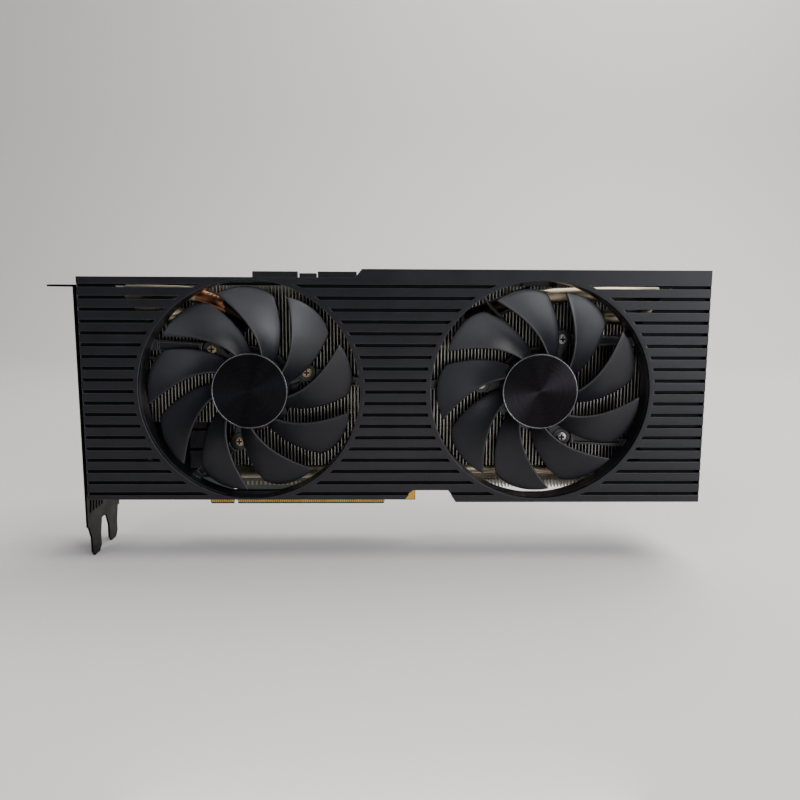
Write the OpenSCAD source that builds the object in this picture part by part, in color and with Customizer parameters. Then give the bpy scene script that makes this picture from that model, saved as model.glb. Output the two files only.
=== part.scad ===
// Dual-fan graphics card, as an assembly of separate pieces.
// Frame: the origin is on the board's mid-plane, at the bottom of the edge connector and the middle
// of its key notch. +X runs along the card away from the bracket, +Y to the back plate, +Z up.
// The modules draw in card coordinates, where x = 0 is the bracket's outer face.

/* [Card] */
// Distance from the bracket's outer face to the edge connector's key notch
key_x = 58.5; // [57:0.5:60]
// Thickness of the circuit board
board_t = 1.57; // [1.5:0.01:1.6]
// Height of the board above the contact edge
board_top = 107; // [106:0.5:107]
// Length of the board from the bracket
board_len = 228; // [227:1:232]

/* [Front cover] */
// Length of the ribbed cover
cover_len = 267; // [267:1:270]
// Distance from the board's front face to the cover's front face
cover_depth = 36.2; // [36:0.1:37]
// Thickness of the cover's front plate
plate_t = 2.6; // [2.4:0.1:2.8]
// Distance from one rib to the next
rib_pitch = 4.97; // [4.95:0.01:4.98]
// Width of the groove between two ribs
groove_w = 1.35; // [1:0.05:1.8]
// Depth of the grooves
groove_d = 1.9; // [1:0.1:1.9]

/* [Fans] */
// Distance between the two fan axes
fan_pitch = 124.7; // [124:0.1:126]
// Diameter of the cover's opening
opening_d = 94.4; // [94:0.1:95]
// Diameter of the rotor over its blade tips
rotor_d = 89.6; // [88:0.1:90]
// Diameter of the rotor's hub
hub_d = 32.4; // [32:0.1:33]
// Number of blades on each rotor
blade_count = 9; // [7:1:9]

/* [Bracket] */
// Thickness of the bracket's sheet
sheet_t = 0.86; // [0.8:0.01:0.9]

/* [Cooler] */
// Distance from one fin to the next
fin_pitch = 1.5; // [1.5:0.1:2]
// Thickness of one fin
fin_t = 0.4; // [0.3:0.05:0.4]
// Radius of the heat pipes
pipe_r = 3.2; // [3:0.1:3.2]

/* [Hidden] */
$fn = 64;
eps = 0.05;

// planes across the card, from the board outwards
board_front = -board_t / 2;
board_back = board_t / 2;
cover_front = board_front - cover_depth;
cover_back = cover_front + plate_t;
frame_front = -4.6;
frame_back = -3.2;
cold_front = -8.5;
cold_back = -5.4;
fin_base = -9.3;
fin_front = -23.5;
pipe_y = fin_front + pipe_r + 0.3;

// the front cover's outline
cover_x0 = 1.9;
cover_x1 = cover_x0 + cover_len;
fan_z = 59.7;
groove_mid = 59.45;
left_fan_x = 72.8;
right_fan_x = left_fan_x + fan_pitch;
fan_xs = [left_fan_x, right_fan_x];
opening_r = opening_d / 2;
border_r = opening_r + 2.1;
skirt_t = 1.6;
skirt_y = cover_front + 12.5;
mouth_y = cover_front + 8;

// colours
black = "#25262b";
dark_metal = "#4a474b";
copper = "#b0764f";
steel = "#b9bbbd";

// ---------- placing ----------

// children in card coordinates, moved so that the key notch is at x = 0
module card() translate([-key_x, 0, 0]) children();

// a flat shape drawn in (x, z), as a panel from y0 to y1
module panel(y0, y1) card() translate([0, y1, 0]) rotate([90, 0, 0]) linear_extrude(y1 - y0) children();

// a box given by two corners in card coordinates
module block(a, b) card() translate(a) cube(b - a);

// a bar round an axis along Y, from y0 to y1, at (x, z)
module post(x, z, r, y0, y1) card() translate([x, y1, z]) rotate([90, 0, 0]) cylinder(r = r, h = y1 - y0);

// a bar round an axis along X
module rod(x0, x1, y, z, r) card() translate([x0, y, z]) rotate([0, 90, 0]) cylinder(r = r, h = x1 - x0);

// a point on the smooth curve through points p, at t counted in points
function curve(p, t) =
    let (n = len(p) - 1, i = min(floor(t), n - 1), u = t - i,
         a = p[max(i - 1, 0)], b = p[i], c = p[i + 1], d = p[min(i + 2, n)])
    0.5 * (2 * b + (c - a) * u + (2 * a - 5 * b + 4 * c - d) * u * u + (3 * b - a - 3 * c + d) * u * u * u);
function unit(v) = v / norm(v);

// a round tube of radius r along that curve, with rings between points
module tube(points, r, sides, steps) {
    rings = (len(points) - 1) * steps;
    verts = [for (k = [0 : rings]) let (
        t = k / steps,
        p = curve(points, t),
        d = unit(curve(points, min(t + 0.05, len(points) - 1)) - curve(points, max(t - 0.05, 0))),
        u = unit(cross(d, [0, 0, 1])),
        v = cross(u, d)) for (j = [0 : sides - 1])
            p + r * (cos(j * 360 / sides) * u + sin(j * 360 / sides) * v)];
    walls = [for (k = [0 : rings - 1], j = [0 : sides - 1]) let (
        a = k * sides + j,
        b = k * sides + (j + 1) % sides)
            each [[a, b, a + sides], [b, b + sides, a + sides]]];
    first = [for (j = [sides - 1 : -1 : 0]) j];
    last = [for (j = [0 : sides - 1]) rings * sides + j];
    card() polyhedron(verts, concat([first], walls, [last]));
}

// a rectangle by its middle and size
module box2(x, z, w, h) translate([x - w / 2, z - h / 2]) square([w, h]);

// ---------- front cover ----------

// the stepped outline, moved inwards by w
function cover_outline(w) = [
    [cover_x0 + w, 12 + w], [139.5 - 0.4 * w, 12 + w], [143 - 0.4 * w, 16.2 + w], [158.3 + 0.4 * w, 16.2 + w],
    [161.7 + 0.4 * w, 10.9 + w], [cover_x1 - w, 10.9 + w], [cover_x1 - w, 111.4 - w],
    [121 + 0.4 * w, 111.4 - w], [118.1 + 0.4 * w, 107.8 - w], [cover_x0 + w, 107.8 - w]];

module openings2(r) for (x = fan_xs) translate([x, fan_z]) circle(r = r, $fn = 128);

// the wall that closes both ends of each groove
groove_end_t = 0.5;

// one long bar for each groove, between the ribs
module groove_bars(w) for (k = [-9 : 9])
    translate([cover_x0 + groove_end_t, groove_mid + k * rib_pitch - w / 2])
        square([cover_x1 - cover_x0 - 2 * groove_end_t, w]);

// the corners by one opening where the grooves go right through, drawn for the left fan's outer side
module vent_corner() {
    polygon([[-57.5, 47], [-15, 47], [-36, 24], [-41, 27]]);
    polygon([[-45.5, -18], [-36, -18], [-32, -34], [-44.5, -34]]);
}

module cover_vents() {
    translate([left_fan_x, fan_z]) vent_corner();
    translate([right_fan_x, fan_z]) mirror([1, 0]) vent_corner();
}

side_slot_d = 0.12;

// a shallow slot for each groove, between x0 and x1 in a side wall, as far back as y1
module side_slots(x0, x1, y1) for (k = [-9 : 9]) {
    z = groove_mid + k * rib_pitch;
    block([x0, cover_front - 1, z - groove_w / 2], [x1, y1, z + groove_w / 2]);
}

cover_posts = [[12, 101.8], [136.5, 30], [136.5, 101.5], [264.3, 20], [264.3, 100]];

module front_cover() color(black) difference() {
    union() {
        panel(cover_front, cover_back) polygon(cover_outline(0));
        difference() {
            panel(cover_back - eps, skirt_y) polygon(cover_outline(0));
            panel(cover_back - 1, skirt_y + 1) polygon(cover_outline(skirt_t));
        }
        block([cover_x1 - skirt_t, cover_back - eps, 12.5], [cover_x1, frame_front, 109.8]);
        for (p = cover_posts) post(p.x, p.y, 2.4, cover_back - eps, frame_front);
    }
    panel(cover_front - 1, mouth_y) openings2(opening_r);
    panel(cover_front - 1, cover_front + groove_d) difference() {
        groove_bars(groove_w);
        openings2(border_r);
    }
    panel(cover_front - 1, cover_back + 1) intersection() {
        groove_bars(groove_w);
        difference() {
            cover_vents();
            openings2(border_r);
        }
    }
    side_slots(cover_x1 - side_slot_d, cover_x1 + 1, frame_front + 1);
    side_slots(cover_x0 - 1, cover_x0 + side_slot_d, skirt_y + 1);
    for (p = cover_posts) post(p.x, p.y, 0.9, frame_front - 8, frame_front + 1);
}

module cover_screws() color(steel) for (p = cover_posts) {
    post(p.x, p.y, 0.88, frame_front - 6, frame_back);
    post(p.x, p.y, 1.9, frame_back, frame_back + 1.2);
}

// ---------- bracket ----------

// these three are set by the expansion card standard
slot_bracket_w = 18.42;
slot_pitch = 20.32;
bracket_h = 120.02;
bracket_y0 = board_front - 34.97;
bracket_y1 = bracket_y0 + slot_bracket_w + slot_pitch;
tab_top = 104.43;
tongue_tip = tab_top - bracket_h;
tongue_half = 5.1;
tab_out = 11.5;
bracket_lugs = [14, 92];
socket_zs = [24, 44.5, 65, 85.5];
socket_y = board_front - 3.6;

// one tongue of the bracket, in (y, z), with its middle at y
module tongue2(y) polygon([
    [y - 8, -1], [y - tongue_half, -7], [y - tongue_half, tongue_tip + 2.5],
    [y - tongue_half + 2.2, tongue_tip], [y + tongue_half - 2.2, tongue_tip],
    [y + tongue_half, tongue_tip + 2.5], [y + tongue_half, -8], [y + 7, -1]]);

module bracket_face2() difference() {
    union() {
        translate([bracket_y0, -1 - eps]) square([bracket_y1 - bracket_y0, tab_top + 1 + eps]);
        for (i = [0, 1]) tongue2(bracket_y0 + slot_bracket_w / 2 + i * slot_pitch);
    }
    // openings for the display sockets
    for (i = [0 : 3]) box2(socket_y, socket_zs[i], i == 3 ? 5.9 : 5.4, i == 3 ? 15.6 : 16.7);
    // slanted air slots in the outer slot's half
    for (row = [0 : 7], col = [0 : 4])
        translate([bracket_y0 + 2.6 + col * 3.3, 5 + row * 12])
            polygon([[0, 0], [1.7, 0], [3.1, 8.6], [1.4, 8.6]]);
}

module tab2() difference() {
    polygon([[-tab_out, bracket_y0 + 2], [-tab_out + 2, bracket_y0], [sheet_t, bracket_y0],
        [sheet_t, bracket_y1], [-tab_out + 2, bracket_y1], [-tab_out, bracket_y1 - 2]]);
    // an open notch for each slot's screw
    for (i = [0, 1]) translate([-tab_out, bracket_y0 + slot_bracket_w / 2 + i * slot_pitch]) {
        translate([-1, -2.2]) square([5, 4.4]);
        translate([4, 0]) circle(r = 2.2);
    }
}

module io_bracket() color(dark_metal) {
    difference() {
        union() {
            card() rotate([90, 0, 90]) linear_extrude(sheet_t) bracket_face2();
            card() translate([0, 0, tab_top - sheet_t]) linear_extrude(sheet_t) tab2();
            for (z = bracket_lugs) block([0, board_back, z - 4], [9, board_back + sheet_t, z + 4]);
        }
        for (z = bracket_lugs) post(5.5, z, 1.35, board_back - 1, board_back + 2);
    }
}

module bracket_screws() color(steel) for (z = bracket_lugs) {
    post(5.5, z, 1.3, board_front, board_back + sheet_t);
    post(5.5, z, 2.2, board_back + sheet_t, board_back + sheet_t + 0.9);
}

// ---------- circuit board ----------

contact_x0 = 46.2;
contact_x1 = 130.5;
contact_h = 8.25;
gpu = [98, 60];
retention = [for (a = [-29, 29], b = [-29, 29]) gpu + [a, b]];
plate_screws = [[30, 17], [30, 101], [148, 17], [160, 101], [222, 17], [222, 88], [255, 17], [255, 101]];

module board2() difference() {
    polygon([[1.6, contact_h], [contact_x0, contact_h], [contact_x0, 0.6], [contact_x0 + 0.6, 0],
        [key_x - 0.95, 0], [key_x - 0.95, 7.6], [key_x + 0.95, 7.6], [key_x + 0.95, 0],
        [contact_x1 - 0.6, 0], [contact_x1, 0.6], [contact_x1, contact_h], [134, contact_h], [134, 1.8],
        [145.5, 1.8], [145.5, 12.4], [board_len, 12.4], [board_len, board_top],
        [117, board_top], [117, 110.4], [99.8, 110.4], [99.8, board_top], [98.3, board_top],
        [98.3, 109.6], [91.4, 109.6], [91.4, board_top], [89.5, board_top], [89.5, 110.4],
        [70, 110.4], [70, board_top], [1.6, board_top]]);
    for (p = retention) translate(p) circle(r = 1.9, $fn = 32);
    for (p = plate_screws) translate(p) circle(r = 1.6, $fn = 32);
    for (z = bracket_lugs) translate([5.5, z]) circle(r = 1.35, $fn = 32);
}

module circuit_board() color("#173a2c") panel(board_front, board_back) board2();

contact_xs = concat([for (i = [0 : 10]) key_x - 11.5 + i], [for (i = [0 : 70]) key_x + 1.5 + i]);

// both faces of the contacts, and the plated retention hook
module edge_contacts() color("#c9a13b") {
    for (side = [-1, 1], x = contact_xs) {
        y = side * (board_t / 2 + 0.03);
        block([x - 0.35, y - 0.03, 0.8], [x + 0.35, y + 0.03, 5.6]);
    }
    block([136, board_front - 0.06, 2.2], [145.2, board_front, 7.6]);
}

module link_cap_part(x0, x1, z1) difference() {
    block([x0, board_front - 1.1, board_top + 0.05], [x1, board_back + 1.1, z1]);
    block([x0 + 0.4, board_front - 0.02, 0], [x1 - 0.4, board_back + 0.02, z1 - 0.75]);
}

module link_connector_cap() color(black) {
    link_cap_part(69, 89.9, 111.2);
    link_cap_part(90.8, 98.7, 110.4);
    link_cap_part(99.4, 117.4, 111.2);
}

// ---------- parts on the board ----------

chip_h = 1.1;
memory_x = [for (dx = [-33, 33], dz = [-16, 0, 16]) gpu + [dx, dz]];
memory_z = [for (dz = [-33, 33], dx = [-17, 0, 17]) gpu + [dx, dz]];
inductors = concat([for (i = [0 : 6]) [151, 29 + i * 10.2]], [for (i = [0 : 5]) [176, 29 + i * 10.2]],
    [for (i = [0 : 2]) [42.5, 23 + i * 9.6]]);

module chips(points, w, h, y0, y1) panel(y0, y1) for (p = points) box2(p.x, p.y, w, h);

module gpu_package() color("#1d4a35") chips([gpu], 45, 45, board_front - 1.2, board_front);

module gpu_die() color("#8b8f96") chips([gpu], 25, 26, board_front - 2, board_front - 1.2);

module memory_chips() color("#202226") {
    chips(memory_x, 12, 14, board_front - chip_h, board_front);
    chips(memory_z, 14, 12, board_front - chip_h, board_front);
}

module thermal_pads() color("#8a9399") {
    chips(memory_x, 11, 13, frame_back, board_front - chip_h);
    chips(memory_z, 13, 11, frame_back, board_front - chip_h);
}

module power_inductors() color("#55565a") for (p = inductors) difference() {
    block([p.x - 4, board_front - 5, p.y - 4.2], [p.x + 4, board_front, p.y + 4.2]);
    block([p.x - 4.5, board_front - 5.5, p.y - 0.5], [p.x - 3.5, board_front + 1, p.y + 0.5]);
    block([p.x + 3.5, board_front - 5.5, p.y - 0.5], [p.x + 4.5, board_front + 1, p.y + 0.5]);
}

module power_stages() color("#2a2b2e")
    chips([for (p = inductors) p + [7, 0]], 5, 6, board_front - 0.9, board_front);

module polymer_capacitors() color("#a9abad") for (x = [164, 190, 198], i = [0 : 5]) {
    post(x, 26 + i * 11, 3, board_front - 5.2, board_front - 0.6);
    block([x - 3.3, board_front - 0.6, 22.7 + i * 11], [x + 3.3, board_front, 29.3 + i * 11]);
}

// a row of small parts just above the edge contacts
module coupling_capacitors() color("#b9a489") for (i = [0 : 31])
    block([62 + i * 2.1, board_front - 0.5, 9.4], [63 + i * 2.1, board_front, 11.4]);

module support_chips() color("#26282c") {
    chips([[36, 60], [36, 76]], 7, 7, board_front - 1, board_front);
    chips([[34, 90], [210, 40]], 5, 6, board_front - 1.2, board_front);
    chips([[210, 58], [210, 74]], 6, 6, board_front - 1, board_front);
}

// ---------- sockets ----------

power_xs = [187, 209];
power_w = 18;
power_y0 = board_front - 10.4;
power_z0 = 97.6;
power_z1 = 110.6;
// the middles of one socket's eight pins, as [x, y] from the socket's left edge and the board
pins = [for (i = [0 : 3], j = [0, 1]) [2.7 + i * 4.2, -3.1 - j * 4.2]];

module power_socket(x) color("#1e1f22") difference() {
    union() {
        block([x, power_y0, power_z0], [x + power_w, board_front, power_z1]);
        block([x + 6, power_y0 - 1.4, power_z1 - 6], [x + 12, power_y0 + eps, power_z1 - 1.5]);
    }
    for (p = pins) block([x + p.x - 1.75, board_front + p.y - 1.75, power_z0 + 2.5],
        [x + p.x + 1.75, board_front + p.y + 1.75, power_z1 + 1]);
}

module power_pins() color("#c8b273") for (x = power_xs, p = pins)
    block([x + p.x - 0.5, board_front + p.y - 0.5, power_z0 + 2.5],
        [x + p.x + 0.5, board_front + p.y + 0.5, power_z1 - 2]);

fan_plugs = [[23.3, 78], [137.5, 88]];

// a small white header for each fan's lead, open towards the cover
module fan_headers() color("#e6e2d6") for (p = fan_plugs) difference() {
    block([p.x - 2, board_front - 4.4, p.y - 4.5], [p.x + 2, board_front, p.y + 4.5]);
    block([p.x - 1.4, board_front - 5, p.y - 3.9], [p.x + 1.4, board_front - 1.6, p.y + 3.9]);
}

display_depth = 20.8;
hdmi_depth = 13;
shell_t = 0.35;
socket_end_t = 2;

// a shielded socket: an open metal shell on a foot, with its middle at height z
module socket_shell(z, h, w, depth) difference() {
    union() {
        block([0.05, socket_y - h / 2, z - w / 2], [depth, socket_y + h / 2, z + w / 2]);
        block([1.7, socket_y, z - w / 2], [depth, board_front, z + w / 2]);
    }
    block([-1, socket_y - h / 2 + shell_t, z - w / 2 + shell_t],
        [depth - socket_end_t, socket_y + h / 2 - shell_t, z + w / 2 - shell_t]);
}

module display_sockets() color(steel) for (i = [0 : 2]) socket_shell(socket_zs[i], 5.2, 16.5, display_depth);

module hdmi_socket() color(steel) socket_shell(socket_zs[3], 5.7, 15.4, hdmi_depth);

// the flat tongue that carries a socket's contacts
module socket_tongue(z, half_w, depth)
    block([2.2, socket_y - 0.6, z - half_w], [depth - socket_end_t, socket_y + 0.6, z + half_w]);

module socket_tongues() color("#17181a") {
    for (i = [0 : 2]) socket_tongue(socket_zs[i], 6.6, display_depth);
    socket_tongue(socket_zs[3], 5.8, hdmi_depth);
}

// ---------- cooler ----------

module frame_plate() color("#2c2d31") difference() {
    union() {
        panel(frame_front, frame_back) polygon([[21.4, 14], [266, 14], [266, 106], [5, 106], [5, 97.5],
            [21.4, 97.5]]);
        for (p = plate_screws) if (p.x < board_len) post(p.x, p.y, 2.8, frame_front, board_front);
    }
    panel(frame_front - 1, frame_back + 1) {
        box2(gpu.x, gpu.y, 47, 47);
        for (p = retention) translate(p) circle(r = 2.4, $fn = 32);
        box2(151, 59.6, 9.4, 71);
        box2(176, 54.5, 9.4, 61);
        box2(164, 53.5, 7.6, 63);
        box2(194, 53.5, 15.6, 63);
        box2(42.5, 32.6, 9.4, 29);
        box2(fan_plugs[0].x, fan_plugs[0].y, 5, 10);
        box2(fan_plugs[1].x, fan_plugs[1].y, 5, 10);
        translate([185, 96]) square([43.5, 12]);
    }
    for (p = plate_screws) post(p.x, p.y, 1.3, frame_front - 1, board_front + 1);
    for (p = cover_posts) post(p.x, p.y, 0.95, frame_front - 1, frame_back + 1);
}

module cold_plate() color(copper) difference() {
    union() {
        panel(cold_front, cold_back) box2(gpu.x, gpu.y, 68, 68);
        panel(cold_back - eps, board_front - 2) box2(gpu.x, gpu.y, 34, 34);
    }
    for (p = retention) post(p.x, p.y, 1.25, cold_front + 1, cold_back + 1);
}

// each inner pipe's left end and its height
inner_pipes = [[62, 42], [30, 60], [30, 78]];
inner_pipe_y = fin_base - 3.05;
lower_pipe_z = 20.9;
upper_pipe_z = 101.3;
side_pipe_z = 91.5;
fin_top = 104.5;
bent_left_route = [[17, pipe_y, upper_pipe_z], [33, pipe_y, upper_pipe_z], [46, pipe_y, 100.4],
    [57, pipe_y + 0.3, 96.5], [63.5, pipe_y + 2.4, 92.4], [69, pipe_y + 5.6, 88.6]];
bent_right_route = [[252, pipe_y, upper_pipe_z], [226, pipe_y, upper_pipe_z], [204, pipe_y, 100.4],
    [188, pipe_y, 98.4], [177, pipe_y + 0.8, 94.6], [168, pipe_y + 4.4, 90.4]];

module heat_pipes_inner() color(copper) for (p = inner_pipes) rod(p[0], 256, inner_pipe_y, p[1], 3);
module heat_pipe_lower() color(copper) rod(62, 244, pipe_y, lower_pipe_z, pipe_r);
module heat_pipe_upper_left() color(copper) tube(bent_left_route, pipe_r, 20, 6);
module heat_pipe_upper_right() color(copper) tube(bent_right_route, pipe_r, 20, 6);

// the short ends of two more pipes, beside the fans
module heat_pipe_ends() color(copper) {
    rod(19, 43, pipe_y, side_pipe_z, 3);
    rod(228, 251, pipe_y, side_pipe_z, 3);
}

// a comb of fins on a thin base, from x0 to x1
module fin_comb(x0, x1, z0, z1) {
    n = floor((x1 - x0 - fin_t) / fin_pitch);
    card() translate([0, 0, z0]) linear_extrude(z1 - z0) polygon(concat(
        [[x0, cold_front], [x0, fin_base]],
        [for (i = [0 : n]) let (x = x0 + i * fin_pitch) each [
            if (i > 0) [x, fin_base],
            [x, fin_front], [x + fin_t, fin_front], [x + fin_t, fin_base]]],
        [[x0 + n * fin_pitch + fin_t, cold_front]]));
}

// the room cut for the pipes in both stacks, with 0.3 mm round each
module pipe_channels() {
    for (p = inner_pipes) rod(20, 270, inner_pipe_y, p[1], 3.05);
    block([20, fin_front - 1, lower_pipe_z - 3.5], [270, pipe_y + 3.5, lower_pipe_z + 3.5]);
}

// a slot for a pipe that runs down from (x, z) at the given slope, as deep as to y1, turned over by flip
module slanted_channel(x, z, slope, length, y1, flip = [0, 0, 0]) card()
    translate([x, 0, z]) mirror(flip) rotate([0, slope, 0]) translate([-5, fin_front - 1, -3.9])
        cube([length, y1 - fin_front + 1, 7.8]);

module fin_stack_left() color("#3a3b3f") difference() {
    fin_comb(27, 133, 17.4, fin_top);
    pipe_channels();
    block([20, fin_front - 1, 88], [45.5, pipe_y + 3.5, fin_top + 1]);
    block([40, fin_front - 1, 96.5], [53, pipe_y + 3.5, fin_top + 1]);
    slanted_channel(54, 98.4, 32.5, 26, -9.4);
    block([20, fin_front - 1, 10], [61, 0, 44]);
}

module fin_stack_right() color("#3a3b3f") difference() {
    fin_comb(142, 261.5, 14.2, fin_top);
    pipe_channels();
    block([193, fin_front - 1, 96.5], [270, pipe_y + 3.5, fin_top + 1]);
    block([225.5, fin_front - 1, 88], [270, pipe_y + 3.5, upper_pipe_z]);
    slanted_channel(192, 100.1, 21.5, 34, -10.4, [1, 0, 0]);
    block([184, -13.2, 96], [229, 0, 110]);
}

module retention_plate() color("#6a6c70") difference() {
    panel(board_back + 0.5, board_back + 1.2) translate(gpu) {
        for (a = [45, 135]) rotate(a) square([92, 9], center = true);
        square([34, 34], center = true);
    }
    for (p = retention) post(p.x, p.y, 1.4, board_back - 1, board_back + 3);
}

module retention_screws() color(steel) for (p = retention) {
    post(p.x, p.y, 1.2, cold_back - 2, board_back + 1.2);
    post(p.x, p.y, 2.6, board_back + 1.2, board_back + 2.6);
}

// ---------- back plate ----------

back_y0 = board_back + 1.6;
back_y1 = back_y0 + 1;

module back_plate() color("#1f2024") difference() {
    union() {
        panel(back_y0, back_y1) difference() {
            polygon([[10, 13], [132, 13], [147, 15], [161.7, 12.5], [267, 12.5], [267, 110.6], [121, 110.6],
                [118.4, 106.8], [10, 106.8]]);
            box2(gpu.x, gpu.y, 78, 78);
            for (i = [0 : 9]) box2(247, 26 + i * 7.4, 26, 3.4);
        }
        for (p = plate_screws) post(p.x, p.y, 3, p.x < board_len ? board_back : frame_back, back_y0 + eps);
    }
    for (p = plate_screws) post(p.x, p.y, 1.3, frame_back - 1, back_y1 + 1);
}

module back_plate_screws() color(steel) for (p = plate_screws) {
    post(p.x, p.y, 1.25, frame_front, back_y1);
    post(p.x, p.y, 2.3, back_y1, back_y1 + 0.6);
}

// ---------- fans ----------

screw_r = 24.6;
// each motor lug's angle, the angle at which its arm meets the ring, and the arm's width at both ends
left_arms = [[135.5, 156.5, 5, 4.6], [16.5, 3, 5, 4], [254.5, 236, 5, 4]];
right_arms = [[63.5, 26, 5, 3.6], [299, 329.5, 5.2, 3.2], [175, 178, 5, 4]];
// where each lead leaves through the ring
left_exit = 164;
right_exit = 121;
ring_back = 25;
arm_front = 27.6;
arm_back = 24.4;
base_back = 25.6;
hub_front = 36.6;
hub_back = 29;
hub_r = hub_d / 2;
blade_front = 35.8;
blade_back = 28.9;
root_angles = [110, 119];

// children in a fan's own frame: x right, y up, z towards the viewer, 0 at the board's mid-plane
module at_fan(x) card() translate([x, 0, fan_z]) rotate([90, 0, 0]) children();

// a ring or a disc in a fan's frame
module ring(r0, r1, z0, z1) translate([0, 0, z0]) difference() {
    cylinder(r = r1, h = z1 - z0);
    if (r0 > 0) translate([0, 0, -1]) cylinder(r = r0, h = z1 - z0 + 2);
}

function polar(r, a) = r * [cos(a), sin(a)];

// a flat arm from p to q, w0 wide at p and w1 wide at q, with its two ends drawn in by e0 and e1
module arm2(p, q, w0, w1, e0 = 0, e1 = 0) {
    d = (q - p) / norm(q - p);
    n = [-d.y, d.x];
    a = p + e0 * d;
    b = q - e1 * d;
    polygon([a + n * w0 / 2, a - n * w0 / 2, b - n * w1 / 2, b + n * w1 / 2]);
}

// The wall behind the opening, cut flat where the cover's top and bottom walls stand, and three arms
// with a hollow front. low and high are the flats' heights.
module fan_frame(x, arms, exit, low, high) color(black) at_fan(x) {
    difference() {
        intersection() {
            ring(opening_r, border_r, ring_back, -cover_back);
            translate([-60, low, 0]) cube([120, high - low, 60]);
        }
        rotate(exit) translate([opening_r - 2, -1.6, ring_back - 1]) cube([6, 3.2, 2.4]);
    }
    difference() {
        for (a = arms) {
            p = polar(screw_r, a[0]);
            q = polar(opening_r + 1, a[1]);
            translate([p.x, p.y, arm_back]) cylinder(r = 3.6, h = base_back - arm_back);
            translate([0, 0, arm_back]) linear_extrude(arm_front - arm_back) arm2(p, q, a[2], a[3]);
        }
        for (a = arms) {
            p = polar(screw_r, a[0]);
            q = polar(opening_r, a[1]);
            translate([p.x, p.y, 0]) cylinder(r = 0.95, h = 60);
            translate([p.x, p.y, base_back]) cylinder(r = 4.3, h = 20);
            translate([0, 0, base_back - 0.2]) linear_extrude(5) arm2(p, q, a[2] - 1.6, a[3] - 1.6, 5.4, 2.4);
        }
    }
}

lug_t = 1.6;

module motor_base(x, arms) color("#1c1d20") at_fan(x) difference() {
    union() {
        ring(0, 18.4, base_back, base_back + 1.4);
        for (a = arms) rotate(a[0]) {
            translate([screw_r, 0, base_back]) cylinder(r = 3.9, h = lug_t);
            translate([12, -3.5, base_back]) cube([screw_r - 12, 7, 1.4]);
        }
        ring(0, 4.2, base_back, 33);
    }
    translate([0, 0, 20]) cylinder(r = 3, h = 20);
    for (a = arms) rotate(a[0]) translate([screw_r, 0, 20]) cylinder(r = 1.2, h = 20);
}

module motor_screws() color("#c9b27a") for (f = [[left_fan_x, left_arms], [right_fan_x, right_arms]])
    at_fan(f[0]) for (a = f[1]) rotate(a[0]) translate([screw_r, 0, 0]) {
        translate([0, 0, arm_back]) cylinder(r = 0.9, h = base_back + lug_t - arm_back);
        difference() {
            translate([0, 0, base_back + lug_t]) cylinder(r = 2.1, h = 1);
            for (t = [0, 90]) rotate(t) translate([-1.3, -0.25, base_back + lug_t + 0.5]) cube([2.6, 0.5, 2]);
        }
    }

module bearing(x) color("#9a7b4a") at_fan(x) ring(1.05, 3, base_back, 33.2);
module shaft(x) color(steel) at_fan(x) ring(0, 1, base_back + 0.6, hub_front - 1.6);
module magnet(x) color("#3b3c40") at_fan(x) ring(12.9, 14.6, hub_back, hub_front - 2.2);

module stator(x) color("#7d7f84") at_fan(x) translate([0, 0, 29]) linear_extrude(4) difference() {
    union() {
        circle(r = 6.4);
        for (i = [0 : 8]) rotate(i * 40) {
            translate([5, -0.9]) square([6.4, 1.8]);
            intersection() {
                translate([10.6, -3]) square([2, 6]);
                circle(r = 12.3);
            }
        }
    }
    circle(r = 4.25);
}

module windings(x) color(copper) at_fan(x) for (i = [0 : 8]) rotate(i * 40) translate([6.9, 0, 28.2])
    difference() {
        translate([0, -1.7, 0]) cube([3.4, 3.4, 5.6]);
        translate([-1, -0.95, 0.75]) cube([6, 1.9, 4.1]);
    }

// One blade is a grid over its span s and chord c, both 0 to 1. c = 0 is the leading edge, at the front.
span_steps = 7;
chord_steps = 6;
function lead_angle(s) = 38 * (1.35 * s - 0.35 * s * s);
function chord_angle(s) = 20 + 12 * (1 - (1 - s) * (1 - s));
function tip_r(c) = rotor_d / 2 - 1.4 * pow(1 - c, 3) - 3.4 * pow(c, 4);
function blade_point(s, c, side) =
    let (r = hub_r - 0.8 + s * (tip_r(c) - hub_r + 0.8),
         a = lead_angle(s) - chord_angle(s) * c,
         z = blade_front - (blade_front - blade_back) * (1.3 * c - 0.3 * c * c) - 0.5 * s * (1 - c),
         t = 0.25 + 1.1 * c * (1 - c))
    [r * cos(a), r * sin(a), z + side * t];

module blade() {
    cols = chord_steps + 1;
    count = (span_steps + 1) * cols;
    points = [for (side = [1, -1], i = [0 : span_steps], j = [0 : chord_steps])
        blade_point(i / span_steps, j / chord_steps, side)];
    rim = concat([for (j = [0 : chord_steps]) j], [for (i = [1 : span_steps]) i * cols + chord_steps],
        [for (j = [chord_steps - 1 : -1 : 0]) span_steps * cols + j],
        [for (i = [span_steps - 1 : -1 : 1]) i * cols]);
    faces = concat(
        [for (i = [0 : span_steps - 1], j = [0 : chord_steps - 1]) let (k = i * cols + j)
            each [[k, k + cols, k + 1], [k + 1, k + cols, k + cols + 1]]],
        [for (i = [0 : span_steps - 1], j = [0 : chord_steps - 1]) let (k = count + i * cols + j)
            each [[k, k + 1, k + cols], [k + 1, k + cols + 1, k + cols]]],
        [for (n = [0 : len(rim) - 1]) let (a = rim[n], b = rim[(n + 1) % len(rim)])
            each [[a, b, a + count], [b, b + count, a + count]]]);
    polyhedron(points, faces);
}

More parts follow.
